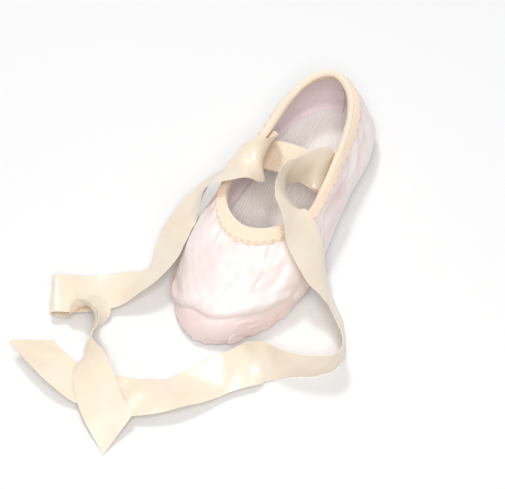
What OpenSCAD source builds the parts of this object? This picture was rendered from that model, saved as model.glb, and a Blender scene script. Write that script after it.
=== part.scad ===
// Split-sole satin ballet slipper for a child, with a ribbed elastic throat binding, an instep
// elastic and two loose ankle ribbons. Millimetres, +Z up. The toe points to -Y, the sole lies
// on Z = 0, and the origin is under the middle of the slipper.

/* [Slipper] */
// Length of the slipper from toe to heel
slipper_length = 170; // [165:1:175]
// Width of the body across the ball of the foot
slipper_width = 66; // [64:1:68]
// Height of the throat edge at the front
throat_front_height = 33; // [32:1:35]
// Height of the throat edge at the heel
heel_height = 43; // [42:1:46]
// Distance from the origin to the front of the throat
throat_front = 28; // [26:1:30]
// Distance from the origin to the back of the throat
throat_back = 75; // [73:1:77]

/* [Layers] */
// Thickness of the satin
satin_t = 1; // [0.8:0.1:1.1]
// Thickness of the lining
lining_t = 0.6; // [0.6:0.1:0.8]
// Thickness of the insole foam
foam_t = 2.5; // [2:0.1:2.8]
// Thickness of the insole's cotton cover
cover_t = 0.8; // [0.6:0.1:1]

/* [Sole] */
// Thickness of the suede patches
suede_t = 1.2; // [1:0.1:1.2]
// Length of the forefoot patch
front_patch_length = 58; // [54:1:60]
// Width of the forefoot patch
front_patch_width = 44; // [40:1:46]
// Length of the heel patch
heel_patch_length = 32; // [28:1:34]
// Width of the heel patch
heel_patch_width = 26; // [22:1:28]

/* [Trim] */
// Width of the binding that shows on each side of the throat edge
binding_w = 8.5; // [7:0.5:9]
// Thickness of each leg of the binding
binding_t = 0.9; // [0.8:0.1:1]
// Width of the instep elastic
strap_w = 20; // [18:1:22]
// Thickness of the instep elastic
strap_t = 1.2; // [1:0.1:1.4]
// Width of the ankle ribbons
ribbon_w = 22; // [20:1:22]
// Thickness of the ankle ribbons
ribbon_t = 0.5; // [0.4:0.1:0.6]

/* [Hidden] */

// Gap between layers of one body, and between pieces of two bodies
gap = 0.1;
body_gap = 0.3;
// Underside of the satin, just clear of the suede
under_z = suede_t + body_gap;
// How far the wall tucks in under its widest line
tuck = 6;
// Angle round the outline where the vamp meets the quarters, 0 at the toe and 180 at the heel
seam_angle = 78;
// Half of the gap at a seam, in degrees round the outline
seam_half_gap = 0.3;
// Share of the profile that lies under the foot, from the middle of the sole to the wall
under_share = 0.25;
// Half of the gap between the quarters along the middle of the sole
centre_gap = 0.4;

// Half width of the body and of the throat over the sine of the outline angle, toe to heel
body_fullness = slipper_width / 66 * [41, 38.5, 33, 29, 33, 40];
throat_fullness = [30, 28, 22.5, 20.5, 21.5, 24];
// Middle of the outline in plan
centre = [-1.5, -1];
// Sideways sweep of the body and of the throat, toe to heel
body_sweep = [-3, 1.5, 1, 0, 1];
throat_sweep = [-3, -0.5, 0.5, -0.5, -2.5];
// Height of the throat edge, toe to heel
throat_height = [
  throat_front_height, throat_front_height + 2, throat_front_height + 3,
  heel_height - 5.5, heel_height - 3, heel_height
];
// Height of the wall's shoulder as a share of the throat height, toe to heel
shoulder = [0.64, 0.62, 0.60, 0.56, 0.55, 0.55];

// Centres of the two suede patches
front_patch_at = [0, -36];
heel_patch_at = [-1, 59];
// Rows of stitching: distance in from a patch's edge, and the channel that holds the thread
outer_row_inset = 3.4;
inner_row_inset = 7.6;
heel_row_inset = 3;
channel_w = 0.8;
channel_depth = 0.5;
thread = 0.5;
stitch_length = 2.2;
// Middle of the instep elastic along Y
strap_y = 21;

// ---- Curves ----

// Smooth curve through evenly spaced values, t from 0 to 1
function spline(v, t) =
  let (n = len(v) - 1, x = min(max(t, 0), 1) * n, i = min(floor(x), n - 1), f = x - i,
       a = i > 0 ? v[i - 1] : 2 * v[0] - v[1],
       b = v[i], c = v[i + 1],
       d = i + 2 <= n ? v[i + 2] : 2 * v[n] - v[n - 1])
  0.5 * (2 * b + (c - a) * f + (2 * a - 5 * b + 4 * c - d) * f * f
    + (3 * b - a - 3 * c + d) * f * f * f);
function unit(v) = v / max(norm(v), 1e-9);
function lerp(a, b, f) = a + (b - a) * f;
function sgn(p) = p < 0 ? -1 : 1;
// Share of the way from toe to heel at an outline angle
function along(p) = (1 - cos(p)) / 2;

// Widest line of the body about its middle line
function reach_out(p) =
  [sgn(p) * spline(body_fullness, along(p)) * sin(abs(p)), -slipper_length / 2 * cos(p)];
// Widest line of the body in plan, p from -180 to 180, positive on the +X side
function widest(p) =
  centre + [spline(body_sweep, along(p)), 0] + reach_out(p);
// Throat edge in plan
function throat(p) =
  centre + [sgn(p) * spline(throat_fullness, along(p)) * sin(abs(p)) + spline(throat_sweep, along(p)),
   (throat_back - throat_front) / 2 - (throat_back + throat_front) / 2 * cos(p)];
// Outward direction in plan
function outward(p) = let (r = reach_out(p)) unit([r[0], r[1] * 0.38]);
// Point of the sole line that a profile starts from
function sole_line(p) =
  let (a = abs(p), k = min(a / 10, 1), hump = max(0, 1 - pow(a / 75, 2)))
  centre + [sgn(p) * (centre_gap * k + 14 * sin(a) * hump) + spline(body_sweep, along(p)) * hump,
   cos(p) > 0 ? -52 * cos(p) : -66 * cos(p)];

// Outer surface: w from 0 in the middle of the sole to 1 at the throat edge
function wall(p, v) =
  let (m = widest(p), o = outward(p), t = throat(p), h = spline(throat_height, abs(p) / 180),
       q0 = m - o * tuck, q1 = m + o * 4, q2 = m + o * 2.5 + (t - m) * 0.04,
       u = 1 - v, a = u * u * u, b = 3 * u * u * v, c = 3 * u * v * v, d = v * v * v,
       xy = a * q0 + b * q1 + c * q2 + d * t)
  [xy[0], xy[1], a * under_z + c * h * spline(shoulder, abs(p) / 180) + d * h];
function skin(p, w) =
  w >= under_share ? wall(p, (w - under_share) / (1 - under_share))
  : let (s = sole_line(p), e = wall(p, 0), f = w / under_share)
    [lerp(s[0], e[0], f), lerp(s[1], e[1], f), under_z];
// The same surface moved outwards by d, which is negative inside
function normal(p, w) =
  let (lo = p < 0 ? -179.9 : 0.1, hi = p < 0 ? -0.1 : 179.9,
       q = abs(p) < 1 ? [p - 1, p + 1] : [max(p - 1, lo), min(p + 1, hi)],
       dp = skin(q[1], w) - skin(q[0], w),
       dw = skin(p, min(w + 0.01, 1)) - skin(p, max(w - 0.01, 0.02)))
  unit(cross(dp, dw));
function shell_at(p, w, d) = skin(p, w) + normal(p, w) * d;

// ---- Solids ----

// Closed solid from a grid of rings: each ring runs along one face of a wall and back along the
// other. Both faces are split along the same diagonals, so a twisted wall keeps its thickness.
module sweep_rings(rings) {
  n = len(rings);
  m = len(rings[0]);
  points = [for (r = rings) each r];
  sides = [
    for (i = [0:n - 2], j = [0:m - 1])
      let (a = i * m + j, b = i * m + (j + 1) % m, c = a + m, d = b + m)
        each j < m / 2 ? [[a, b, d], [a, d, c]] : [[a, b, c], [b, d, c]]
  ];
  first = [for (j = [m - 1:-1:0]) j];
  last = [for (j = [0:m - 1]) (n - 1) * m + j];
  polyhedron(points, concat(sides, cap(rings[0], first), cap(rings[n - 1], last)), convexity = 10);
}
// Flat strips between the two halves of a long thin ring, so that a curved cap stays closed
function cap(ring, order) =
  let (m = len(order))
  [
    for (k = [0:m / 2 - 2])
      let (a = order[k], b = order[k + 1], c = order[m - 2 - k], d = order[m - 1 - k])
        each [[a, b, c], [a, c, d]]
  ];

// Ring across a panel at outline angle p, from d_out to d_in, between profile shares w0 and w1
function panel_ring(p, w0, w1, d_out, d_in, n) =
  concat(
    [for (j = [0:n]) shell_at(p, lerp(w0, w1, j / n), d_out)],
    [for (j = [n:-1:0]) shell_at(p, lerp(w0, w1, j / n), d_in)]
  );
module panel(p0, p1, steps, w0, w1, d_out, d_in, n) {
  sweep_rings([
    for (i = [steps:-1:0]) panel_ring(lerp(p0, p1, i / steps), w0, w1, d_out, d_in, n)
  ]);
}

// Share of the profile where the satin and lining stop inside the binding
top_share = 0.985;
back_angle = 179.7;
lining_back_angle = 179.2;
satin_in = -satin_t;
// Clearance between the satin and its lining
lining_gap = 0.2;
lining_out = satin_in - lining_gap;
lining_in = lining_out - lining_t;

module vamp() color("mistyrose")
  panel(-seam_angle + seam_half_gap, seam_angle - seam_half_gap, 36, 0.004, top_share, 0, satin_in, 14);
module quarter_left() color("mistyrose")
  panel(-back_angle, -seam_angle - seam_half_gap, 24, 0.004, top_share, 0, satin_in, 14);
module quarter_right() color("mistyrose")
  panel(seam_angle + seam_half_gap, back_angle, 24, 0.004, top_share, 0, satin_in, 14);
module vamp_lining() color("thistle")
  panel(-seam_angle + seam_half_gap, seam_angle - seam_half_gap, 36, 0.06, top_share,
    lining_out, lining_in, 14);
module quarter_lining_left() color("thistle")
  panel(-lining_back_angle, -seam_angle - seam_half_gap, 24, 0.06, top_share,
    lining_out, lining_in, 14);
module quarter_lining_right() color("thistle")
  panel(seam_angle + seam_half_gap, lining_back_angle, 24, 0.06, top_share,
    lining_out, lining_in, 14);

// Insole: the body's outline moved in, as flat layers
insole_inset = 6.8;
foam_z = under_z - lining_in + 0.2;
module insole_layer(z, t) {
  translate([0, 0, z])
    linear_extrude(t)
      polygon([for (p = [-180:6:174]) widest(p) - outward(p) * insole_inset]);
}
module insole_foam() color("lightgrey") insole_layer(foam_z, foam_t);
module insole_cover() color("whitesmoke") insole_layer(foam_z + foam_t + gap, cover_t);

// Suede patch: an egg, a little wider towards the toe
egg = 0.1;
function patch_point(length, width, at, inset, a) =
  at + [(width / 2 - inset) * sin(a) * (1 + egg * cos(a)), -(length / 2 - inset) * cos(a)];
module patch_outline(length, width, at, inset)
  polygon([for (a = [0:6:354]) patch_point(length, width, at, inset, a)]);
module patch(length, width, at, rows) {
  difference() {
    linear_extrude(suede_t) patch_outline(length, width, at, 0);
    for (inset = rows)
      translate([0, 0, -1])
        linear_extrude(1 + channel_depth)
          difference() {
            patch_outline(length, width, at, inset - channel_w / 2);
            patch_outline(length, width, at, inset + channel_w / 2);
          }
  }
}
// Threads that lie in a channel, flush with the suede
module row(length, width, at, inset, count) {
  for (i = [0:count - 1]) {
    a = 360 / count * i;
    p = patch_point(length, width, at, inset, a);
    q = patch_point(length, width, at, inset, a + 1);
    translate([p[0], p[1], 0.05 + (channel_depth - 0.1) / 2])
      rotate([0, 0, atan2(q[1] - p[1], q[0] - p[0])])
        cube([stitch_length, thread, channel_depth - 0.1], center = true);
  }
}
module sole_patch_front() color("slategray")
  patch(front_patch_length, front_patch_width, front_patch_at, [outer_row_inset, inner_row_inset]);
module sole_patch_heel() color("slategray")
  patch(heel_patch_length, heel_patch_width, heel_patch_at, [heel_row_inset]);
module patch_stitches_outer() color("white")
  row(front_patch_length, front_patch_width, front_patch_at, outer_row_inset, 42);
module patch_stitches_inner() color("white")
  row(front_patch_length, front_patch_width, front_patch_at, inner_row_inset, 34);
module heel_patch_stitches() color("white")
  row(heel_patch_length, heel_patch_width, heel_patch_at, heel_row_inset, 22);

// Length of the wall's profile from share w to the throat edge
function reach(p, w) = norm(skin(p, 1) - skin(p, w));
// Share of the profile that lies d below the throat edge, near the top
function share_below(p, d) = 1 - 0.1 * d / reach(p, 0.9);

// Binding: a folded elastic with one leg outside and one inside the throat edge
leg_out = binding_t;
leg_in = lining_in - gap - binding_t;
// Face of the inner leg that lies against the lining
slot_in = lining_in - 0.25;
function binding_ring(p) =
  let (a = share_below(p, binding_w), b = share_below(p, binding_w / 2),
       ai = share_below(p, binding_w - 1), rise = [0, 0, 1])
  [
    shell_at(p, a, gap), shell_at(p, a, leg_out), shell_at(p, b, leg_out),
    shell_at(p, 1, leg_out - 0.2) + rise * 0.3, shell_at(p, 1, lerp(leg_out, leg_in, 0.5)) + rise,
    shell_at(p, 1, leg_in + 0.2) + rise * 0.3, shell_at(p, b, leg_in), shell_at(p, ai, leg_in),
    shell_at(p, ai, slot_in), shell_at(p, b, slot_in),
    shell_at(p, 0.995, slot_in), shell_at(p, 0.995, gap), shell_at(p, b, gap)
  ];
module ring_closed(rings) {
  n = len(rings);
  m = len(rings[0]);
  polyhedron(
    [for (r = rings) each r],
    [
      for (i = [0:n - 1], j = [0:m - 1])
        let (a = i * m + j, b = i * m + (j + 1) % m, c = ((i + 1) % n) * m + j,
             d = ((i + 1) % n) * m + (j + 1) % m)
          each [[a, d, b], [a, c, d]]
    ],
    convexity = 10
  );
}
module throat_binding() color("bisque")
  ring_closed([for (p = [179:-5:-176]) binding_ring(p)]);

// A stitch laid on the surface: along the throat, on top of the layer that ends at d
module stitch_on(p, w, d, size) {
  n = normal(p, w) * sgn(d);
  t = unit(skin(p + 1, w) - skin(p - 1, w));
  b = cross(n, t);
  c = shell_at(p, w, d) + n * size[2] / 2;
  multmatrix([
    [t[0], b[0], n[0], c[0]],
    [t[1], b[1], n[1], c[1]],
    [t[2], b[2], n[2], c[2]],
    [0, 0, 0, 1]
  ]) cube(size, center = true);
}
binding_stitch_count = 56;
module binding_stitches() color("navajowhite") {
  for (i = [0:binding_stitch_count - 1]) {
    p = -177 + 354 * i / (binding_stitch_count - 1);
    stitch_on(p, share_below(p, binding_w - 1.2), leg_out + 0.12, [2.4, 0.4, 0.3]);
  }
}

// ---- Instep elastic, between the quarters, above the insole ----

// Strap's middle line in X and Z, from the left wall over the instep to the right wall
strap_line = [
  [-25.5, 16.5], [-24, 21.5], [-19, 25.4], [-10.5, 28.2], [-1.5, 29.2],
  [7.5, 28.2], [15.5, 25.4], [21, 21.5], [22.6, 16.5]
];
function at_2d(v, t) = [spline([for (q = v) q[0]], t), spline([for (q = v) q[1]], t)];
strap_steps = 30;
function strap_point(t, s) =
  let (a = at_2d(strap_line, t - 0.01), b = at_2d(strap_line, t + 0.01), d = unit(b - a))
  at_2d(strap_line, t) + [-d[1], d[0]] * s;
module instep_elastic() color("bisque")
  translate([0, strap_y + strap_w / 2, 0])
    rotate([90, 0, 0])
      linear_extrude(strap_w)
        polygon(concat(
          [for (i = [0:strap_steps]) strap_point(i / strap_steps, strap_t / 2)],
          [for (i = [strap_steps:-1:0]) strap_point(i / strap_steps, -strap_t / 2)]
        ));
// Rows that hold the strap's ends: on the strap's inner face, near each end
module strap_stitches() color("navajowhite") {
  for (side = [0, 1], k = [-3:3], up = [0, 1]) {
    t = side == 0 ? 0.05 + up * 0.05 : 0.95 - up * 0.05;
    q = strap_point(t, -strap_t / 2 - 0.2);
    r = strap_point(t + 0.01, -strap_t / 2 - 0.2);
    translate([q[0], strap_y + k * 2.6, q[1]])
      rotate([0, -atan2(r[1] - q[1], r[0] - q[0]), 0])
        cube([0.4, 1.7, 0.3], center = true);
  }
}

// ---- Ankle ribbons ----

// Each point: X, Y, Z of the ribbon's middle, then the bearing and pitch of its width
left_route = [
  [-26.5, 21, 19, -93, 0], [-23.5, 21, 26, -93, 0], [-21, 20, 31.5, -100, -12],
  [-17, 16, 36.5, -118, -30], [-14, 11, 39.5, -100, -62], [-15.5, 4.5, 41.5, -35, -34],
  [-21, -2, 42, -48, 20], [-27, -7, 39.5, -72, 24], [-32, -10.5, 34.5, -84, 32],
  [-35.5, -14, 28, -62, 40], [-38.5, -19, 21, -25, 46], [-41, -26, 15, 0, 40],
  [-42, -34, 12, 4, 38], [-41, -42, 11, 2, 38], [-39.5, -51, 10.5, -2, 42],
  [-39.5, -59.5, 10.8, -18, 46], [-44.5, -68, 8, -40, 36], [-54, -76, 4, -45, 10],
  [-65.5, -84, 3.5, -50, 2], [-74.5, -90.5, 6.5, -55, 0], [-80, -94, 8, -60, 0],
  [-82, -94.5, 5.2, -64, 0], [-79, -92.5, 2.2, -70, 0], [-71, -91.5, 2.6, -82, 4],
  [-63, -92, 6.4, -98, 24], [-57, -95, 11, -110, 62], [-52.5, -100.5, 11.8, -30, 76],
  [-50.5, -108, 11.6, -38, 64], [-48.5, -116, 12, -5, 72], [-43.5, -123, 11.4, 30, 36],
  [-36, -131, 10.2, 40, 21], [-26.5, -139.5, 7.4, 48, 14], [-13.5, -148, 3.6, 26, 4]
];
right_route = [
  [24.5, 22, 19, -84, 0], [21, 22, 26, -86, -4], [17, 21, 32, -88, -14], [13.5, 18, 38, -98, -40],
  [8.5, 12, 41.5, -110, -72], [3.5, 4, 43, 80, -82], [5.5, -6, 45, 82, -68],
  [10.5, -13, 46, 76, -52], [16.5, -18, 45, 68, -41], [24.5, -23, 36, 52, -32],
  [34.5, -29, 24, 62, -42], [41.5, -33, 16, 78, -52], [48.5, -38, 11.2, 88, -57],
  [55.5, -45, 11, 98, -58], [62.5, -54, 11.2, 105, -62], [65.5, -62, 11.5, 95, -68],
  [63.5, -69, 11.5, 80, -75], [57.5, -74, 11.5, 60, -84], [49.5, -78, 11.5, -120, -86],
  [40.5, -81, 11.2, -115, -72], [31.5, -83, 9.4, -120, -48], [23.5, -88, 5.6, -105, -20],
  [15.5, -96, 3, -85, -2], [8.5, -106, 3.2, -74, 10], [0.5, -115.5, 4.8, -68, 18],
  [-8.5, -122.5, 5, -72, 11], [-18.5, -127.5, 4.2, -82, 6], [-29.5, -130, 3.2, -86, 5],
  [-42.5, -131.5, 3.1, -92, 6], [-54.5, -131, 5.4, -99, 23], [-66.5, -127.5, 5.8, -110, 25],
  [-77.5, -122.5, 5.6, -114, 24]
];
// How far the cut end is slanted across the width
cut_slant = 5;
ribbon_steps = 40;
function aim(bearing, pitch) =
  [cos(pitch) * cos(bearing), cos(pitch) * sin(bearing), sin(pitch)];
function aims(route) = [for (r = route) aim(r[3], r[4])];
function column(m, k) = [for (r = m) r[k]];
function middle(route, t) = [for (k = [0:2]) spline(column(route, k), t)];
function across(route, t) =
  let (w = aims(route), d = unit(middle(route, t + 0.004) - middle(route, t - 0.004)),
       v = [for (k = [0:2]) spline(column(w, k), t)])
  unit(v - d * (v * d));
function ribbon_ring(route, t, slant) =
  let (c = middle(route, t), w = across(route, t),
       d = unit(middle(route, t + 0.004) - middle(route, t - 0.004)),
       n = cross(d, w) * ribbon_t / 2, half = ribbon_w / 2)
  [
    for (q = [[-1, 0.4], [-0.5, 1], [0.5, 1], [1, 0.4], [1, -0.4], [0.5, -1], [-0.5, -1], [-1, -0.4]])
      c + w * q[0] * half + n * q[1] - d * slant * q[0]
  ];
module ribbon(route, slant)
  sweep_rings([
    for (i = [0:ribbon_steps])
      ribbon_ring(route, i / ribbon_steps, slant * max(0, i - ribbon_steps + 2) / 2)
  ]);
module ribbon_left() color("papayawhip") ribbon(left_route, cut_slant);
module ribbon_right() color("papayawhip") ribbon(right_route, -cut_slant);
// Short rows that hold each ribbon's end against the lining, on the ribbon's inner face
stitch_ring = 2;
module ribbon_stitches() color("navajowhite") {
  for (side = [0, 1], k = [-3:3]) {
    route = side == 0 ? left_route : right_route;
    t = stitch_ring / ribbon_steps;
    w = across(route, t);
    d = unit(middle(route, t + 0.004) - middle(route, t - 0.004));
    n = cross(d, w) * (side == 0 ? 1 : -1);
    c = middle(route, t) + w * k * 2.8 + n * (ribbon_t / 2 + 0.25);
    multmatrix([
      [d[0], w[0], n[0], c[0]],
      [d[1], w[1], n[1], c[1]],
      [d[2], w[2], n[2], c[2]],
      [0, 0, 0, 1]
    ]) cube([0.4, 1.8, 0.3], center = true);
  }
}

vamp();
quarter_left();
quarter_right();
vamp_lining();
quarter_lining_left();
quarter_lining_right();
insole_foam();
insole_cover();
sole_patch_front();
sole_patch_heel();
patch_stitches_outer();
patch_stitches_inner();
heel_patch_stitches();
throat_binding();
binding_stitches();
instep_elastic();
strap_stitches();
ribbon_left();
ribbon_right();
ribbon_stitches();
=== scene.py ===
import math

import bmesh
import bpy
import numpy as np
from mathutils import Matrix, Vector


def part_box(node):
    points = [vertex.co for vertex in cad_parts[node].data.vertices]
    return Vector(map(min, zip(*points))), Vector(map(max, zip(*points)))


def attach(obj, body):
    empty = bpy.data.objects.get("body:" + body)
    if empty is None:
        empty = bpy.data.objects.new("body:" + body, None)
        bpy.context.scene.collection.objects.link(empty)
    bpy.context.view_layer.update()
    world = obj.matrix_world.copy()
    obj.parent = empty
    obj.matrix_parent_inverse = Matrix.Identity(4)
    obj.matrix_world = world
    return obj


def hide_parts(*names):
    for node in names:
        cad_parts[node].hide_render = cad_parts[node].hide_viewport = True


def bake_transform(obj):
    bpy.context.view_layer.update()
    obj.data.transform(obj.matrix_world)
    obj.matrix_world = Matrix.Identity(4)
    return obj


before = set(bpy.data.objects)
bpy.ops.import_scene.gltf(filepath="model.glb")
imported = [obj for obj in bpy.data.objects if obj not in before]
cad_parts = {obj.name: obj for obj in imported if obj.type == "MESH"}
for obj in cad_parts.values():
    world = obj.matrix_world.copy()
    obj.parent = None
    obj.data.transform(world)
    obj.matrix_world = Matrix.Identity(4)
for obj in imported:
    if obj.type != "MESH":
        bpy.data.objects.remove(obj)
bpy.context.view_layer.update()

MM = 0.001

# ---- Camera ----

AZIMUTH = math.radians(27)
ELEVATION = math.radians(57)
DISTANCE = 0.9
TARGET = Vector((-0.0028, -0.0247, 0.012))

back = Vector((
    math.sin(AZIMUTH) * math.cos(ELEVATION),
    -math.cos(AZIMUTH) * math.cos(ELEVATION),
    math.sin(ELEVATION),
))
right = Vector((math.cos(AZIMUTH), math.sin(AZIMUTH), 0))
up = back.cross(right)
camera_data = bpy.data.cameras.new("camera")
camera_data.lens = 124.5
camera_data.sensor_width = 36
camera_data.clip_start = 0.05
camera = bpy.data.objects.new("camera", camera_data)
camera_at = TARGET + back * DISTANCE
camera.matrix_world = Matrix((
    (right.x, up.x, back.x, camera_at.x),
    (right.y, up.y, back.y, camera_at.y),
    (right.z, up.z, back.z, camera_at.z),
    (0, 0, 0, 1),
))
bpy.context.scene.collection.objects.link(camera)
bpy.context.scene.camera = camera
bpy.context.scene.view_settings.view_transform = "Standard"

# ---- Curves, in millimetres, as in part.scad ----


def spline(values, t):
    """Smooth curve through evenly spaced values, t from 0 to 1."""
    v = np.asarray(values, float)
    n = len(v) - 1
    x = np.clip(t, 0, 1) * n
    i = np.minimum(np.floor(x).astype(int), n - 1)
    f = x - i
    ends = np.concatenate([[2 * v[0] - v[1]], v, [2 * v[n] - v[n - 1]]])
    a, b, c, d = ends[i], ends[i + 1], ends[i + 2], ends[i + 3]
    return 0.5 * (
        2 * b + (c - a) * f + (2 * a - 5 * b + 4 * c - d) * f**2
        + (3 * b - a - 3 * c + d) * f**3
    )


def unit(v):
    return v / np.maximum(np.linalg.norm(v, axis=-1, keepdims=True), 1e-9)


def step(x, lo, hi):
    """0 below lo, 1 above hi, smooth between."""
    t = np.clip((x - lo) / (hi - lo), 0, 1)
    return t * t * (3 - 2 * t)


def bump(x, middle, width):
    return np.exp(-(((x - middle) / width) ** 2))


LENGTH = 170
THROAT_FRONT, THROAT_BACK = 28, 75
UNDER_Z = 1.5
TUCK = 6
UNDER_SHARE = 0.25
CENTRE = np.array([-1.5, -1.0])
BODY_FULLNESS = [41, 38.5, 33, 29, 33, 40]
THROAT_FULLNESS = [30, 28, 22.5, 20.5, 21.5, 24]
BODY_SWEEP = [-3, 1.5, 1, 0, 1]
THROAT_SWEEP = [-3, -0.5, 0.5, -0.5, -2.5]
THROAT_HEIGHT = [33, 35, 36, 37.5, 40, 43]
SHOULDER = [0.64, 0.62, 0.60, 0.56, 0.55, 0.55]
SEAM_ANGLE = 78
SATIN_T, LINING_T, GAP = 1.0, 0.6, 0.1
LINING_OUT = -SATIN_T - 0.2
LINING_IN = LINING_OUT - LINING_T


def along(p):
    return (1 - np.cos(np.radians(p))) / 2


def plan(p, fullness, sweep, length, shift):
    side = np.where(p < 0, -1, 1)
    x = side * spline(fullness, along(p)) * np.sin(np.radians(abs(p)))
    y = shift - length / 2 * np.cos(np.radians(p))
    return CENTRE + np.stack([x + spline(sweep, along(p)), y], -1)


def widest(p):
    return plan(p, BODY_FULLNESS, BODY_SWEEP, LENGTH, 0)


def throat(p):
    length = THROAT_FRONT + THROAT_BACK
    return plan(p, THROAT_FULLNESS, THROAT_SWEEP, length, (THROAT_BACK - THROAT_FRONT) / 2)


def outward(p):
    w = widest(p) - CENTRE
    sweep = spline(BODY_SWEEP, along(p))
    return unit(np.stack([w[..., 0] - sweep, w[..., 1] * 0.38], -1))


def sole_line(p):
    a = abs(p)
    hump = np.maximum(0, 1 - (a / 75) ** 2)
    x = np.where(p < 0, -1, 1) * (
        0.15 * np.minimum(a / 10, 1) + 14 * np.sin(np.radians(a)) * hump
    )
    c = np.cos(np.radians(p))
    return CENTRE + np.stack(
        [x + spline(BODY_SWEEP, along(p)) * hump, np.where(c > 0, -52 * c, -66 * c)], -1
    )


def skin(p, w):
    """Outer surface at outline angle p and share w of the profile.

    p is 0 at the toe and 180 at the heel. w is 0 in the middle of the sole and 1 at the throat.
    """
    p, w = np.broadcast_arrays(np.asarray(p, float), np.asarray(w, float))
    v = np.maximum(w - UNDER_SHARE, 0) / (1 - UNDER_SHARE)
    m, o, t = widest(p), outward(p), throat(p)
    h = spline(THROAT_HEIGHT, abs(p) / 180)
    a, b, c, d = (1 - v) ** 3, 3 * (1 - v) ** 2 * v, 3 * (1 - v) * v**2, v**3
    xy = (
        a[..., None] * (m - o * TUCK) + b[..., None] * (m + o * 4)
        + c[..., None] * (m + o * 2.5 + (t - m) * 0.04) + d[..., None] * t
    )
    z = a * UNDER_Z + c * h * spline(SHOULDER, abs(p) / 180) + d * h
    side = np.concatenate([xy, z[..., None]], -1)
    f = np.minimum(w / UNDER_SHARE, 1)[..., None]
    s = sole_line(p)
    flat = s + (m - o * TUCK - s) * f
    under = np.concatenate([flat, np.full(p.shape + (1,), UNDER_Z)], -1)
    return np.where((w >= UNDER_SHARE)[..., None], side, under)


def normal(p, w):
    p, w = np.broadcast_arrays(np.asarray(p, float), np.asarray(w, float))
    dp = skin(p + 1, w) - skin(p - 1, w)
    dw = skin(p, np.minimum(w + 0.01, 1)) - skin(p, np.maximum(w - 0.01, 0.02))
    return unit(np.cross(dp, dw))


def shell_at(p, w, d):
    p, w, d = np.broadcast_arrays(p, w, d)
    return skin(p, w) + normal(p, w) * d[..., None]


def share_below(p, d):
    """Share of the profile that lies d millimetres below the throat edge."""
    reach = np.linalg.norm(skin(p, 1.0) - skin(p, 0.9), axis=-1)
    return 1 - 0.1 * d / reach


# ---- Mesh helpers ----


def add_object(name, verts, faces, smooth_angle=40):
    mesh = bpy.data.meshes.new(name)
    mesh.from_pydata((np.asarray(verts).reshape(-1, 3) * MM).tolist(), [], faces)
    mesh.validate()
    mesh.shade_smooth()
    mesh.set_sharp_from_angle(angle=math.radians(smooth_angle))
    obj = bpy.data.objects.new(name, mesh)
    bpy.context.scene.collection.objects.link(obj)
    return obj


def rings(loops, closed=False):
    """Faces of a solid swept through closed loops of points: loops is (stations, points, 3)."""
    n, m = loops.shape[:2]
    faces = []
    for i in range(n if closed else n - 1):
        k = (i + 1) % n
        for j in range(m):
            q = (j + 1) % m
            faces.append((i * m + j, i * m + q, k * m + q, k * m + j))
    if not closed:
        for base, order in ((0, range(m - 1, -1, -1)), ((n - 1) * m, range(m))):
            ring = [base + j for j in order]
            for k in range(m // 2 - 1):
                faces.append((ring[k], ring[k + 1], ring[m - 2 - k], ring[m - 1 - k]))
    return faces


def outward_faces(verts, faces):
    """The same faces, turned so that the solid's volume is positive."""
    v = np.asarray(verts).reshape(-1, 3)
    total = 0.0
    for f in faces:
        a = v[f[0]]
        for k in range(1, len(f) - 1):
            total += np.dot(a, np.cross(v[f[k]], v[f[k + 1]]))
    return faces if total > 0 else [tuple(reversed(f)) for f in faces]


def weld(obj):
    """Joins points that lie on each other, and drops faces that have no area."""
    mesh = bmesh.new()
    mesh.from_mesh(obj.data)
    bmesh.ops.remove_doubles(mesh, verts=mesh.verts, dist=1e-6)
    bmesh.ops.dissolve_degenerate(mesh, edges=mesh.edges, dist=1e-7)
    mesh.to_mesh(obj.data)
    mesh.free()


def swept(name, loops, closed=False):
    faces = outward_faces(loops, rings(loops, closed))
    return add_object(name, loops, faces)


def many(name, parts):
    """One object from several swept solids."""
    verts, faces = [], []
    for loops in parts:
        f = outward_faces(loops, rings(loops))
        faces += [tuple(i + len(verts) for i in face) for face in f]
        verts += loops.reshape(-1, 3).tolist()
    return add_object(name, verts, faces)


def soft(obj, node, material):
    """A soft piece that stands for a CAD node, baked in place and attached to no body."""
    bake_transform(obj)
    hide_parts(node)
    obj.data.materials.append(material)
    return obj


def fixed(obj, node, body, material):
    """A piece that stands for a CAD node and moves with one body."""
    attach(obj, body)
    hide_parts(node)
    obj.data.materials.append(material)


# ---- Materials ----


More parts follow.
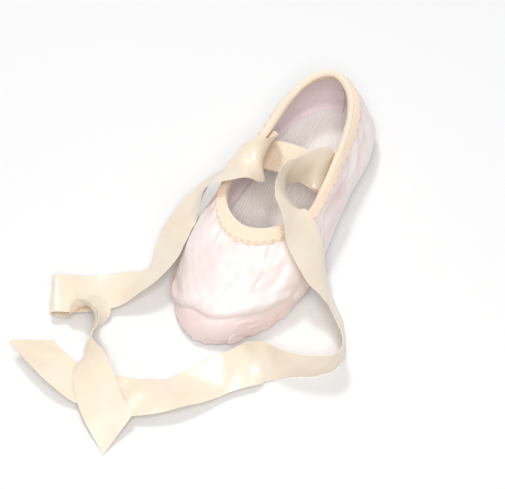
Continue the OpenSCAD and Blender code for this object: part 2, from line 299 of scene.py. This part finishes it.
class Graph:
    """A material's node tree, with short calls for the nodes that are used here."""

    def __init__(self, name):
        self.material = bpy.data.materials.new(name)
        self.material.use_nodes = True
        self.nodes = self.material.node_tree.nodes
        self.links = self.material.node_tree.links
        self.shader = self.nodes["Principled BSDF"]
        self.position = self.nodes.new("ShaderNodeTexCoord").outputs["Object"]

    def link(self, a, b):
        self.links.new(a, b)

    def noise(self, scale, detail):
        n = self.nodes.new("ShaderNodeTexNoise")
        n.inputs["Scale"].default_value = scale
        n.inputs["Detail"].default_value = detail
        self.link(self.position, n.inputs["Vector"])
        return n.outputs["Fac"]

    def wave(self, scale, rotation, distortion):
        turned = self.nodes.new("ShaderNodeMapping")
        turned.inputs["Rotation"].default_value = rotation
        self.link(self.position, turned.inputs["Vector"])
        n = self.nodes.new("ShaderNodeTexWave")
        n.inputs["Scale"].default_value = scale
        n.inputs["Distortion"].default_value = distortion
        n.inputs["Detail Scale"].default_value = 2.0
        self.link(turned.outputs["Vector"], n.inputs["Vector"])
        return n.outputs["Fac"]

    def ramp(self, fac, stops):
        n = self.nodes.new("ShaderNodeValToRGB")
        points = n.color_ramp.elements
        while len(points) < len(stops):
            points.new(0.5)
        for point, (at, color) in zip(points, stops):
            point.position = at
            point.color = (*color, 1)
        self.link(fac, n.inputs["Fac"])
        return n.outputs["Color"]

    def add(self, a, b, share):
        n = self.nodes.new("ShaderNodeMix")
        n.inputs["Factor"].default_value = share
        self.link(a, n.inputs["A"])
        self.link(b, n.inputs["B"])
        return n.outputs["Result"]

    def bump(self, height, distance, strength, after=None):
        n = self.nodes.new("ShaderNodeBump")
        n.inputs["Strength"].default_value = strength
        n.inputs["Distance"].default_value = distance
        self.link(height, n.inputs["Height"])
        if after is not None:
            self.link(after, n.inputs["Normal"])
        return n.outputs["Normal"]

    def set(self, **values):
        for key, value in values.items():
            socket = self.shader.inputs[key.replace("_", " ")]
            socket.default_value = (*value, 1) if isinstance(value, tuple) else value

    def attribute(self, name):
        n = self.nodes.new("ShaderNodeAttribute")
        n.attribute_name = name
        return n.outputs["Fac"]


def satin_material(name, light, dark, painted_shade_color):
    """Dull satin: fine weave, soft crumples, and painted shade that deepens the colour in the folds, on
    the toe's front wall and along the throat.
    """
    g = Graph(name)
    shade = g.ramp(g.noise(38, 2), [(0.32, dark), (0.6, light)])
    # Painted shade: the depth attribute blends in the darker third colour where the folds, the toe's
    # front wall and the throat edge lie in shade.
    front = g.ramp(g.attribute("depth"), [(0.0, (0, 0, 0)), (1.0, (1, 1, 1))])
    mix = g.nodes.new("ShaderNodeMix")
    mix.data_type = "RGBA"
    mix.inputs["B"].default_value = (*painted_shade_color, 1)
    g.link(front, mix.inputs["Factor"])
    g.link(shade, mix.inputs["A"])
    g.link(mix.outputs["Result"], g.shader.inputs["Base Color"])
    slack = g.bump(g.noise(42, 2), 0.006, 0.35)
    creases = g.bump(g.noise(120, 2), 0.0016, 0.3, slack)
    weave = g.bump(g.noise(1500, 2), 0.00025, 0.45, creases)
    g.link(weave, g.shader.inputs["Normal"])
    gloss = g.ramp(g.noise(300, 2), [(0.2, (0.26,) * 3), (0.8, (0.40,) * 3)])
    g.link(gloss, g.shader.inputs["Roughness"])
    g.set(Sheen_Weight=0.15, Sheen_Roughness=0.4, Specular_IOR_Level=0.8)
    return g.material


def ribbed_cotton(name, light, dark, rib_scale, rib_rotation, rib_height):
    """Parallel ribs with a fine cross weave."""
    g = Graph(name)
    ribs = g.wave(rib_scale, rib_rotation, 0.15)
    color = g.ramp(g.add(ribs, g.noise(700, 3), 0.45), [(0.2, dark), (0.75, light)])
    g.link(color, g.shader.inputs["Base Color"])
    ribbed = g.bump(ribs, rib_height, 0.9)
    g.link(g.bump(g.noise(1800, 2), 0.0003, 0.6, ribbed), g.shader.inputs["Normal"])
    g.set(Roughness=0.8, Sheen_Weight=0.25, Sheen_Roughness=0.5)
    return g.material


def plain_fabric(name, light, dark, scale=900, depth=0.0003, roughness=0.85):
    g = Graph(name)
    g.link(g.ramp(g.noise(scale, 4), [(0.3, dark), (0.7, light)]), g.shader.inputs["Base Color"])
    g.link(g.bump(g.noise(scale * 1.6, 3), depth, 0.7), g.shader.inputs["Normal"])
    g.set(Roughness=roughness, Sheen_Weight=0.3, Sheen_Roughness=0.5)
    return g.material


# The third colour is the painted shade for the folds, the toe's front wall and the throat edge.
satin = satin_material("satin", (0.88, 0.79, 0.76), (0.84, 0.69, 0.67), (0.86, 0.61, 0.58))
lining = plain_fabric("lining", (0.95, 0.83, 0.84), (0.89, 0.75, 0.77), 500)
cotton = ribbed_cotton(
    "cotton", (0.98, 0.96, 0.93), (0.90, 0.87, 0.84), 215, (0, 0, math.radians(-8)), 0.00025
)
foam = plain_fabric("foam", (0.82, 0.82, 0.80), (0.66, 0.66, 0.64), 700)
suede = plain_fabric("suede", (0.36, 0.42, 0.45), (0.20, 0.25, 0.28), 420, 0.0006, 0.95)
white_thread = plain_fabric("white_thread", (0.88, 0.86, 0.82), (0.70, 0.68, 0.64), 1500)
pink_thread = plain_fabric("pink_thread", (0.80, 0.60, 0.50), (0.66, 0.46, 0.36), 1500)
elastic = plain_fabric("elastic", (0.93, 0.79, 0.64), (0.86, 0.69, 0.54), 1100, 0.0002, 0.7)


def ribbon_material(name):
    """Thin satin ribbon: glossy, with warm light coming a little way through it."""
    g = Graph(name)
    face = g.ramp(g.noise(60, 2), [(0.3, (0.98, 0.86, 0.69)), (0.7, (0.99, 0.91, 0.77))])
    g.link(face, g.shader.inputs["Base Color"])
    weave = g.bump(g.noise(1400, 2), 0.0002, 0.4)
    g.link(g.bump(g.noise(70, 2), 0.0008, 0.25, weave), g.shader.inputs["Normal"])
    g.set(Roughness=0.24, Specular_IOR_Level=0.9, Sheen_Weight=0.1)
    glow = g.nodes.new("ShaderNodeBsdfTranslucent")
    glow.inputs["Color"].default_value = (0.98, 0.74, 0.50, 1)
    mix = g.nodes.new("ShaderNodeMixShader")
    mix.inputs["Fac"].default_value = 0.16
    g.link(g.shader.outputs["BSDF"], mix.inputs[1])
    g.link(glow.outputs["BSDF"], mix.inputs[2])
    g.link(mix.outputs["Shader"], g.nodes["Material Output"].inputs["Surface"])
    return g.material


ribbon_satin = ribbon_material("ribbon_satin")

# ---- Ankle ribbons ----

# X, Y, Z of the ribbon's middle in metres, then the bearing and pitch of its width in degrees
LEFT_ROUTE = [
    (-0.0265, 0.021, 0.019, -93, 0), (-0.0235, 0.021, 0.026, -93, 0), (-0.021, 0.02, 0.0315, -100, -12),
    (-0.017, 0.016, 0.0365, -118, -30), (-0.014, 0.011, 0.0395, -100, -62),
    (-0.0155, 0.0045, 0.0415, -35, -34), (-0.021, -0.002, 0.042, -48, 20),
    (-0.027, -0.007, 0.0395, -72, 24), (-0.032, -0.0105, 0.0345, -84, 32),
    (-0.0355, -0.014, 0.028, -62, 40), (-0.0385, -0.019, 0.021, -25, 46),
    (-0.041, -0.026, 0.015, 0, 40), (-0.042, -0.034, 0.012, 4, 38), (-0.041, -0.042, 0.011, 2, 38),
    (-0.0395, -0.051, 0.0105, -2, 42), (-0.0395, -0.0595, 0.0108, -18, 46),
    (-0.0445, -0.068, 0.008, -40, 36), (-0.054, -0.076, 0.004, -45, 10),
    (-0.0655, -0.084, 0.0035, -50, 2), (-0.0745, -0.0905, 0.0065, -55, 0),
    (-0.08, -0.094, 0.008, -60, 0), (-0.082, -0.0945, 0.0052, -64, 0),
    (-0.079, -0.0925, 0.0022, -70, 0), (-0.071, -0.0915, 0.0026, -82, 4),
    (-0.063, -0.092, 0.0064, -98, 24), (-0.057, -0.095, 0.011, -110, 62),
    (-0.0525, -0.1005, 0.0118, -30, 76), (-0.0505, -0.108, 0.0116, -38, 64),
    (-0.0485, -0.116, 0.012, -5, 72), (-0.0435, -0.123, 0.0114, 30, 36),
    (-0.036, -0.131, 0.0102, 40, 21), (-0.0265, -0.1395, 0.0074, 48, 14),
    (-0.0135, -0.148, 0.0036, 26, 4),
]
RIGHT_ROUTE = [
    (0.0245, 0.022, 0.019, -84, 0), (0.021, 0.022, 0.026, -86, -4), (0.017, 0.021, 0.032, -88, -14),
    (0.0135, 0.018, 0.038, -98, -40), (0.0085, 0.012, 0.0415, -110, -72),
    (0.0035, 0.004, 0.043, 80, -82), (0.0055, -0.006, 0.045, 82, -68), (0.0105, -0.013, 0.046, 76, -52),
    (0.0165, -0.018, 0.045, 68, -41), (0.0245, -0.023, 0.036, 52, -32),
    (0.0345, -0.029, 0.024, 62, -42), (0.0415, -0.033, 0.016, 78, -52),
    (0.0485, -0.038, 0.0112, 88, -57), (0.0555, -0.045, 0.011, 98, -58),
    (0.0625, -0.054, 0.0112, 105, -62), (0.0655, -0.062, 0.0115, 95, -68),
    (0.0635, -0.069, 0.0115, 80, -75), (0.0575, -0.074, 0.0115, 60, -84),
    (0.0495, -0.078, 0.0115, -120, -86), (0.0405, -0.081, 0.0112, -115, -72),
    (0.0315, -0.083, 0.0094, -120, -48), (0.0235, -0.088, 0.0056, -105, -20),
    (0.0155, -0.096, 0.003, -85, -2), (0.0085, -0.106, 0.0032, -74, 10),
    (0.0005, -0.1155, 0.0048, -68, 18), (-0.0085, -0.1225, 0.005, -72, 11),
    (-0.0185, -0.1275, 0.0042, -82, 6), (-0.0295, -0.13, 0.0032, -86, 5),
    (-0.0425, -0.1315, 0.0031, -92, 6), (-0.0545, -0.131, 0.0054, -99, 23),
    (-0.0665, -0.1275, 0.0058, -110, 25), (-0.0775, -0.1225, 0.0056, -114, 24),
]
RIBBON_W = 22
RIBBON_T = 0.35
# Lowest that a ribbon may lie over the floor
FLOOR_CLEARANCE = 0.15
# Stations along a ribbon for each stretch of its route, and points across its width
STATIONS = 9
ACROSS = 15


def ribbon_frames(route, t):
    r = np.array(route)
    r[:, :3] /= MM
    aims = np.radians(r[:, 3:])
    width = np.stack([
        np.cos(aims[:, 1]) * np.cos(aims[:, 0]),
        np.cos(aims[:, 1]) * np.sin(aims[:, 0]),
        np.sin(aims[:, 1]),
    ], -1)

    def at(table, s):
        return np.stack([spline(table[:, k], s) for k in range(3)], -1)

    middle = at(r[:, :3], t)
    d = unit(at(r[:, :3], t + 0.004) - at(r[:, :3], t - 0.004))
    v = at(width, t)
    w = unit(v - d * np.sum(v * d, -1, keepdims=True))
    return middle, d, w


def ribbon(name, node, route, slant, seed):
    """A band along the route with a soft ripple; the slant cuts its free end."""
    t = np.linspace(0, 1, (len(route) - 1) * STATIONS + 1)
    middle, d, w = ribbon_frames(route, t)
    n = np.cross(d, w)
    q = np.linspace(-1, 1, ACROSS)
    last = step(t, 1 - 2.5 / len(route), 1)[:, None, None]
    base = (
        middle[:, None] + w[:, None] * q[None, :, None] * RIBBON_W / 2
        - d[:, None] * slant * q[None, :, None] * last
    )
    s = t[:, None] * len(route)
    ripple = (
        0.25 * np.sin(s * 1.7 + q[None] * 2.2 + seed)
        + 0.15 * np.sin(s * 3.9 - q[None] * 3.1 + 2 * seed)
        + 0.35 * (q[None] ** 2 - 0.4) * np.sin(s * 0.8 + seed)
    ) * step(t, 0.05, 0.12)[:, None]
    half = RIBBON_T / 2 * (1 + 0.5 * bump(abs(q), 0.95, 0.05))[None]
    half = np.broadcast_to(half, ripple.shape).copy()
    half[:, [0, -1]] *= 0.5
    top = base + n[:, None] * (ripple + half)[..., None]
    low = base + n[:, None] * (ripple - half)[..., None]
    loops = np.concatenate([top, low[:, ::-1]], 1)
    loops[..., 2] = np.maximum(loops[..., 2], FLOOR_CLEARANCE)
    obj = swept(name, loops)
    fixed(obj, node, "heel", ribbon_satin)


ribbon("ribbon_left_band", "ribbon_left", LEFT_ROUTE, 5, 0.6)
ribbon("ribbon_right_band", "ribbon_right", RIGHT_ROUTE, -4, 2.1)

# ---- Satin, lining ----

# Outline angles where the vamp ends, where the quarters start and where they meet at the heel
SEAM_GAP = 0.3
VAMP_EDGE = SEAM_ANGLE - SEAM_GAP
QUARTER_FRONT = SEAM_ANGLE + SEAM_GAP
QUARTER_BACK = 180 - SEAM_GAP
# Shares of the profile where the satin and the lining start, and where both end
SATIN_START, LINING_START, TOP_SHARE = 0.004, 0.06, 0.985
# Outline angles of the toe's pleats
PLEATS = [-58, -48, -39, -31, -22, -13, -5, 4, 12, 21, 31, 41, 50, 59]


def crease_line(p):
    """Where the toe's top turns down to its front wall, as a share of the profile."""
    return 0.70 - 0.19 * step(-p, 5, 45) - 0.02 * step(p, 25, 45) - 0.16 * step(p, 45, 66)


def toe_shape(p, w):
    """Height of the toe's pleats and creases over the smooth surface."""
    p, w = np.broadcast_arrays(p, w)
    toe = 1 - step(abs(p), 56, 70)
    ripple = np.zeros(p.shape)
    for k in range(len(PLEATS) - 1):
        lo, hi = PLEATS[k], PLEATS[k + 1]
        inside = (p >= lo) & (p < hi)
        f = np.clip((p - lo) / (hi - lo), 0, 1)
        size = 0.8 + 0.4 * math.sin(k * 2.3)
        ripple += inside * size * (1 - f) ** 1.2 * step(f, 0.0, 0.22)
    reach = step(w, 0.04, 0.14) * (1 - step(w, 0.40, crease_line(p) - 0.02))
    edge = crease_line(p)
    crisp = 1.1 + 0.6 * step(-p, -25, 10)
    under = step(-w, -edge - 0.004, -edge + 0.018) * step(w, 0.30, 0.48)
    fold = 0.9 * bump(w, edge + 0.03, 0.03) - crisp * under
    notch = -2.2 * bump(p, 33, 1.6) * step(w, 0.2, 0.3) * (1 - step(w, 0.42, 0.56))
    return toe * (1.3 * ripple * reach + fold + notch)


def puckers(p, w):
    """Gathers that fan out below the front of the binding."""
    near = step(w, 0.89 + 0.03 * np.sin(np.radians(p) * 9), 0.97) * (1 - step(abs(p), 75, 95))
    waves = np.sin(np.radians(p) * 34) + 0.6 * np.sin(np.radians(p) * 57 + 1.1)
    return 0.26 * near * waves


def crumples(p, w):
    """Shallow dents and wrinkles, the same each time."""
    a, b = np.radians(p), w * 5
    soft_dents = (
        np.sin(5.1 * a + 2.3 * b + 0.4) * np.sin(3.7 * b - 1.9 * a + 1.0)
        + 0.6 * np.sin(11.3 * a - 4.1 * b + 2.0) * np.sin(7.7 * b + 2.0 * a)
        + 0.35 * np.sin(23 * a + 9 * b) * np.sin(15 * b - 8 * a + 0.7)
    )
    side = step(abs(p), 75, 95)
    folds = 0.22 * side * np.sin(27 * a + 3.0 * np.sin(1.7 * b)) * bump(w, 0.85, 0.1)
    curl = 1.5 * np.sin(3 * b)
    folds += 1.5 * bump(p, 97, 13) * bump(w, 0.76, 0.15) * np.sin(13 * a + 5.2 * b + curl)
    folds += 1.3 * bump(p, 116, 10) * bump(w, 0.82, 0.12) * np.sin(15 * a - 4.2 * b + 0.8)
    folds += 0.6 * bump(p, 136, 14) * bump(w, 0.84, 0.12) * np.sin(21 * a - 3.4 * b)
    folds += 0.30 * bump(p, -100, 20) * bump(w, 0.75, 0.15) * np.sin(14 * a - 4.0 * b)
    return 0.4 * soft_dents * step(w, 0.25, 0.45) * (1 - step(w, 0.93, 1.0)) + folds


def dents(p, w):
    return -1.5 * bump(p, 36, 12) * bump(w, 0.83, 0.06) + 0.9 * bump(p, 47, 9) * bump(w, 0.76, 0.04)


def loose_heel(p, w):
    """The slack satin that stands out round the back of both quarters, more on the right."""
    return 3.2 * bump(p, 132, 26) * bump(w, 0.62, 0.17) + 1.0 * bump(p, -150, 25) * bump(w, 0.6, 0.17)


def satin_height(p, w):
    return toe_shape(p, w) + puckers(p, w) + crumples(p, w) + dents(p, w) + loose_heel(p, w)


def panel(name, p0, p1, steps, w0, w1, n, outer, inner):
    """A fabric panel between two surfaces."""
    p = np.linspace(p0, p1, steps + 1)[:, None]
    w = np.linspace(w0, w1, n + 1)[None]
    top = shell_at(p, w, outer(p, w))
    low = shell_at(p, w, inner(p, w))
    return swept(name, np.concatenate([top, low[:, ::-1]], 1))


def store_painted_shade(obj, p, w, value):
    """Stores how much painted shade each point gets, from how far it lies in a fold or on the toe's
    front wall, for the satin's colour.
    """
    layer = obj.data.attributes.new("depth", "FLOAT", "POINT")
    v = value(p, w)
    both = np.concatenate([v, v[:, ::-1]], 1)
    layer.data.foreach_set("value", both.reshape(-1).astype(np.float32))


def painted_shade_share(p, w):
    """Painted shade: 0 on the open satin, and more in a fold, on the toe's front wall and along the
    throat.
    """
    p, w = np.broadcast_arrays(p, w)
    edge = crease_line(p)
    low = step(w, 0.1, 0.3) * (1 - step(w, edge - 0.08, edge + 0.05))
    # Painted shade in the troughs of the crumples and dents
    folds = step(-crumples(p, w) - dents(p, w), 0.15, 1.0)
    # Painted shade on the toe's front wall, which faces away from the light, and a faint painted shade
    # band along the throat below the binding
    toe = 0.5 * low * (1 - step(abs(p), 45, 75)) + 0.2 * bump(w, 0.97, 0.03)
    return np.maximum(toe, 0.35 * folds)


def level(height):
    """A surface at the same height all over."""
    return lambda p, w: w * 0 + p * 0 + height


def satin_panel(name, node, p0, p1, steps, n):
    obj = panel(name, p0, p1, steps, SATIN_START, TOP_SHARE, n, satin_height, level(-SATIN_T))
    p = np.linspace(p0, p1, steps + 1)[:, None]
    w = np.linspace(SATIN_START, TOP_SHARE, n + 1)[None]
    store_painted_shade(obj, p, w, painted_shade_share)
    soft(obj, node, satin)


satin_panel("vamp_satin", "vamp", -VAMP_EDGE, VAMP_EDGE, 300, 110)
satin_panel("quarter_left_satin", "quarter_left", -QUARTER_BACK, -QUARTER_FRONT, 170, 80)
satin_panel("quarter_right_satin", "quarter_right", QUARTER_FRONT, QUARTER_BACK, 170, 80)


def lining_height(p, w):
    return LINING_IN - 0.25 * crumples(p, w)


def lining_panel(name, node, p0, p1, steps):
    obj = panel(
        name, p0, p1, steps, LINING_START, TOP_SHARE, 50, level(LINING_OUT), lining_height
    )
    soft(obj, node, lining)


lining_panel("vamp_lining_cloth", "vamp_lining", -VAMP_EDGE, VAMP_EDGE, 120)
lining_panel(
    "quarter_lining_left_cloth", "quarter_lining_left", -QUARTER_BACK, -QUARTER_FRONT, 80
)
lining_panel(
    "quarter_lining_right_cloth", "quarter_lining_right", QUARTER_FRONT, QUARTER_BACK, 80
)

# ---- Insole ----

INSOLE_INSET = 6.8


def slab(name, z0, z1, rows=26, edge=0.3):
    """A layer in the insole's outline with a rounded top edge, as rings from its middle line out."""
    p = np.linspace(-180, 180, 145)[:-1]
    rim = widest(p) - outward(p) * INSOLE_INSET
    core = np.stack([np.full(p.shape, CENTRE[0]), np.clip(rim[:, 1], -55, 55)], -1)
    f = np.linspace(0, 1, rows)

    def loop(k, z):
        return np.concatenate([core + (rim - core) * k, np.full((len(p), 1), z)], -1)

    loops = np.array([loop(k, z1 - edge * k**30) for k in f] + [loop(k, z0) for k in f[::-1]])
    n, m = loops.shape[:2]
    faces = rings(loops)[: (n - 1) * m]
    obj = add_object(name, loops, outward_faces(loops, faces))
    weld(obj)
    return obj


foam_low, foam_high = (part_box("insole_foam")[k][2] / MM for k in (0, 1))
cover_low, cover_high = (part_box("insole_cover")[k][2] / MM for k in (0, 1))
foam_slab = soft(slab("foam_slab", foam_low, foam_high), "insole_foam", foam)
cover_slab = soft(slab("insole_cover_cloth", cover_low, cover_high), "insole_cover", cotton)

# ---- Throat binding ----

BINDING_W = 8.5
BINDING_T = 0.9
RIB_PITCH = 1.25


def binding_loops(p):
    """The folded elastic: a ribbed leg on each side, a rounded fold and the slot between."""
    d_out = np.linspace(BINDING_W, 0.3, 36)
    d_in = np.linspace(0.3, BINDING_W - 1, 24)
    gather = 0.06 * np.sin(np.radians(p) * 64) + 0.05 * np.sin(np.radians(p) * 101 + 1)
    join = 0.45 * step(p, -125, -124) * (1 - step(p, -119, -117))
    parts = []
    for d in d_out:
        rib = 0.2 * math.cos(2 * math.pi * d / RIB_PITCH)
        edge = min(1.0, (BINDING_W - d) / 0.6 + 0.35)
        off = BINDING_T * edge + rib * edge + gather * (d / BINDING_W) ** 2 + join
        parts.append(shell_at(p, share_below(p, d), off))
    slot = LINING_IN - GAP
    inner_face = slot - BINDING_T
    n = normal(p, 1.0)
    crest = skin(p, 1.0) + n * ((BINDING_T + inner_face) / 2)
    half = (BINDING_T - inner_face) / 2
    for a in np.radians(np.linspace(20, 160, 9)):
        rise = np.array([0, 0, 1.0]) * math.sin(a) * 1.1
        parts.append(crest + n * (half * math.cos(a) + join[:, None] * 0.6) + rise)
    for d in d_in:
        rib = 0.12 * math.cos(2 * math.pi * d / RIB_PITCH)
        parts.append(shell_at(p, share_below(p, d), inner_face - rib))
    for d, off in (
        (BINDING_W - 1, slot), (BINDING_W / 2, slot), (0.5, slot),
        (0.5, GAP), (BINDING_W / 2, GAP), (BINDING_W, GAP),
    ):
        parts.append(shell_at(p, share_below(p, d), np.full(p.shape, off)))
    return np.stack(parts, 1)


soft(
    swept("binding_elastic", binding_loops(np.linspace(-180, 180, 421)[:-1]), closed=True),
    "throat_binding", elastic,
)

# ---- Stitches ----


def thread(a, b, lift, size, sides=6, steps=5):
    """A short rounded thread from a to b that arches by lift along its up direction."""
    a, b, lift = (np.asarray(x, float) for x in (a, b, lift))
    d = unit(b - a)
    u = unit(lift - d * np.dot(lift, d))
    v = np.cross(d, u)
    height = np.linalg.norm(lift)
    loops = []
    for t in np.linspace(0, 1, steps):
        r = size / 2 * (0.45 if t in (0.0, 1.0) else 1.0)
        c = a + (b - a) * t + u * height * math.sin(math.pi * t)
        loops.append([
            c + r * (math.cos(k) * v + math.sin(k) * u)
            for k in np.linspace(0, 2 * math.pi, sides, endpoint=False)
        ])
    return np.array(loops)


BINDING_STITCHES = 56


def binding_threads():
    out = []
    for i in range(BINDING_STITCHES):
        p = -177 + 354 * i / (BINDING_STITCHES - 1)
        q = np.array([p])
        w = share_below(q, BINDING_W - 1.3)
        n = normal(q, w)[0]
        c = shell_at(q, w, BINDING_T + 0.24)[0]
        t = unit(skin(q + 1, w)[0] - skin(q - 1, w)[0])
        out.append(thread(c - t * 1.05, c + t * 1.05, n * 0.1, 0.36))
    return out


soft(many("binding_threads", binding_threads()), "binding_stitches", pink_thread)


def patch_point(length, width, at, inset, a):
    x = (width / 2 - inset) * math.sin(a) * (1 + 0.1 * math.cos(a))
    return np.array([at[0] + x, at[1] - (length / 2 - inset) * math.cos(a)])


def patch_threads(length, width, at, inset, count):
    out = []
    for i in range(count):
        a = 2 * math.pi * i / count
        p = patch_point(length, width, at, inset, a)
        d = unit(patch_point(length, width, at, inset, a + 0.02) - p)
        c, d = np.array([p[0], p[1], 0.42]), np.array([d[0], d[1], 0])
        out.append(thread(c - d * 1.1, c + d * 1.1, (0, 0, -0.1), 0.5))
    return out


# Length, width and middle of each patch; distance in from the edge of each row of stitches
FRONT_PATCH = (58, 44, (0, -36))
HEEL_PATCH = (32, 26, (-1, 59))
FRONT_ROWS, HEEL_ROWS = (3.4, 7.6), (3,)
for thread_name, node, body, patch, inset, count in (
    ("front_threads_outer", "patch_stitches_outer", "forefoot", FRONT_PATCH, FRONT_ROWS[0], 42),
    ("front_threads_inner", "patch_stitches_inner", "forefoot", FRONT_PATCH, FRONT_ROWS[1], 34),
    ("heel_threads", "heel_patch_stitches", "heel", HEEL_PATCH, HEEL_ROWS[0], 22),
):
    threads = many(thread_name, patch_threads(*patch, inset, count))
    fixed(threads, node, body, white_thread)

# ---- Suede patches ----


def suede_patch(name, node, body, length, width, at, rows):
    """Rounded edge, a channel at each row of stitches, and a slightly uneven nap."""
    beside_row = (-0.9, -0.4, -0.15, 0.15, 0.4, 0.9)
    insets = sorted([0, 0.15, 0.4, 0.8, 1.4, 2.2] + [r + k for r in rows for k in beside_row])
    deepest = max(insets)
    insets += [deepest + 2 + 2 * k for k in range(int((width / 2 - deepest - 2.5) / 2))]
    angles = np.linspace(0, 2 * math.pi, 97)[:-1]
    low, high = [], []
    for inset in insets:
        edge = 0.45 * (1 - min(inset / 1.0, 1)) ** 2
        channel = sum(0.5 * math.exp(-((inset - r) / 0.35) ** 2) for r in rows)
        ring = np.array([patch_point(length, width, at, inset, a) for a in angles])
        nap = 0.04 + 0.04 * np.sin(ring[:, :1] * 1.3 + ring[:, 1:] * 0.9)
        low.append(np.concatenate([ring, edge + channel + nap], 1))
        top = np.full((len(ring), 1), 1.2 - 0.3 * (1 - min(inset, 1)))
        high.append(np.concatenate([ring, top], 1))
    loops = np.array(low[::-1] + high)
    n, m = loops.shape[:2]
    faces = rings(loops)[: (n - 1) * m]
    faces += [tuple(range(m)), tuple((n - 1) * m + j for j in range(m - 1, -1, -1))]
    obj = add_object(name, loops, outward_faces(loops, faces))
    fixed(obj, node, body, suede)


suede_patch("front_suede", "sole_patch_front", "forefoot", *FRONT_PATCH, FRONT_ROWS)
suede_patch("heel_suede", "sole_patch_heel", "heel", *HEEL_PATCH, HEEL_ROWS)

# ---- Instep elastic ----

# X and Z of the strap's middle line, in millimetres, from one side to the other
STRAP_LINE = np.array([
    (-25.5, 16.5), (-24, 21.5), (-19, 25.4), (-10.5, 28.2), (-1.5, 29.2),
    (7.5, 28.2), (15.5, 25.4), (21, 21.5), (22.6, 16.5),
])
STRAP_Y, STRAP_W, STRAP_T = 21, 20, 1.2


def strap_frames(t):
    def at(s):
        return np.stack([spline(STRAP_LINE[:, k], s) for k in (0, 1)], -1)

    d = unit(at(t + 0.01) - at(t - 0.01))
    return at(t), np.stack([-d[:, 1], d[:, 0]], -1)


def strap():
    t = np.linspace(0, 1, 90)
    c, n = strap_frames(t)
    q = np.linspace(-1, 1, 81)
    rib = 0.10 * np.cos(2 * np.pi * q * STRAP_W / 2 / 1.4)
    round_off = ((abs(q) - 0.94) / 0.06).clip(0, 1)
    edge = np.sqrt(np.clip(1 - round_off**2, 0.05, 1))
    half = (STRAP_T / 2 - 0.1 + rib) * edge
    y = STRAP_Y + q * STRAP_W / 2

    def face(sign):
        out = np.zeros((len(t), len(q), 3))
        out[..., 0] = c[:, None, 0] + sign * n[:, None, 0] * half
        out[..., 1] = y
        out[..., 2] = c[:, None, 1] + sign * n[:, None, 1] * half
        return out

    return swept("strap_elastic", np.concatenate([face(1), face(-1)[:, ::-1]], 1))


fixed(strap(), "instep_elastic", "heel", elastic)


def strap_threads():
    out = []
    for base, sign in ((0.05, 1), (0.95, -1)):
        for up_row in (0, 1):
            t = np.array([base + sign * up_row * 0.05])
            c, n = strap_frames(t)
            q = c[0] - n[0] * (STRAP_T / 2 + 0.12)
            lift = (-n[0][0] * 0.12, 0, -n[0][1] * 0.12)
            for k in range(-3, 4):
                y = STRAP_Y + k * 2.6
                out.append(thread((q[0], y - 0.85, q[1]), (q[0], y + 0.85, q[1]), lift, 0.42))
    return out


fixed(many("strap_threads", strap_threads()), "strap_stitches", "heel", pink_thread)


# Share of a ribbon's route where its end is stitched to the lining
STITCHED_AT = 0.05


def ribbon_threads():
    out = []
    for route, inner in ((LEFT_ROUTE, 1), (RIGHT_ROUTE, -1)):
        c, d, w = (k[0] for k in ribbon_frames(route, np.array([STITCHED_AT])))
        n = np.cross(d, w) * inner
        for k in range(-3, 4):
            q = c + w * k * 2.8 + n * (RIBBON_T / 2 + 0.3)
            out.append(thread(q - w * 0.9, q + w * 0.9, n * 0.1, 0.36))
    return out


fixed(many("ribbon_threads", ribbon_threads()), "ribbon_stitches", "heel", pink_thread)

# ---- Floor and light ----

FLOOR_SIDE = 3.0
corners = [(x * FLOOR_SIDE, y * FLOOR_SIDE, 0) for x, y in ((-1, -1), (1, -1), (1, 1), (-1, 1))]
floor_mesh = bpy.data.meshes.new("floor")
floor_mesh.from_pydata(corners, [], [(0, 1, 2, 3)])
floor = bpy.data.objects.new("floor", floor_mesh)
floor.location.z = -0.0002
bpy.context.scene.collection.objects.link(floor)
floor_graph = Graph("floor")
floor_graph.link(
    floor_graph.ramp(floor_graph.noise(3, 2), [(0.3, (0.82,) * 3), (0.7, (0.83,) * 3)]),
    floor_graph.shader.inputs["Base Color"],
)
floor_graph.set(Roughness=0.9, Specular_IOR_Level=0.1)
floor.data.materials.append(floor_graph.material)

world = bpy.data.worlds.new("world")
world.use_nodes = True
sky = world.node_tree.nodes
height = sky.new("ShaderNodeSeparateXYZ")
glow = sky.new("ShaderNodeValToRGB")
glow.color_ramp.elements[0].position = 0.0
glow.color_ramp.elements[0].color = (0.40, 0.40, 0.40, 1)
glow.color_ramp.elements[1].position = 1.0
glow.color_ramp.elements[1].color = (0.50, 0.50, 0.50, 1)
world.node_tree.links.new(sky.new("ShaderNodeTexCoord").outputs["Generated"], height.inputs["Vector"])
world.node_tree.links.new(height.outputs["Z"], glow.inputs["Fac"])
world.node_tree.links.new(glow.outputs["Color"], sky["Background"].inputs["Color"])
sky["Background"].inputs["Strength"].default_value = 1.0
bpy.context.scene.world = world


def area_light(name, place, size, power):
    data = bpy.data.lights.new(name, "AREA")
    data.shape = "DISK"
    data.size = size
    data.energy = power
    obj = bpy.data.objects.new(name, data)
    obj.location = place
    obj.rotation_euler = (Vector(place) * -1).to_track_quat("-Z", "Y").to_euler()
    bpy.context.scene.collection.objects.link(obj)


area_light("key", (-0.45, 0.35, 1.4), 0.3, 7.5)
area_light("fill", (0.3, -0.55, 1.1), 0.7, 8.5)
